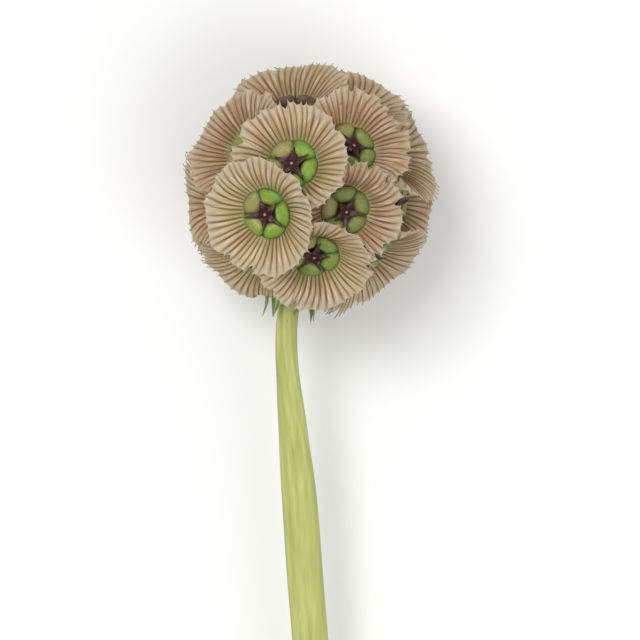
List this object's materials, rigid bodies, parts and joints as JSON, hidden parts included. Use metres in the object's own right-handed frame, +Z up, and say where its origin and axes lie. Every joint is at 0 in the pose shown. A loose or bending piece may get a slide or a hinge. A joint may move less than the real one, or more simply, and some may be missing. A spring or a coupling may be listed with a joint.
{
  "type": "starflower scabiosa pod",
  "caption": "Cut stem of starflower scabiosa: a ball of overlapping pleated papery cups, each with a green lobed pod and dark star, lying on its side.",
  "frame": {"origin": "on the surface it lies on, under the middle of its outer box", "axes": "+Y along the stem towards the seed head, +Z up, +X to the right for a viewer who looks down with the head at the top"},
  "size_m": [0.0512, 0.3111, 0.0505],
  "materials": {
    "stem_green": "smooth green stalk, waxy, with fine lengthwise ribs",
    "bract_green": "dull green leaf",
    "pod_green": "fleshy green lobes with a dark maroon star",
    "cup_paper": "matte dry paper with dark radial ribs"
  },
  "bodies": {
    "root": {"stem": "stem_green", "bracts": "bract_green", "pod_bodies": "pod_green", "paper_cups": "cup_paper"}
  },
  "joints": []
}
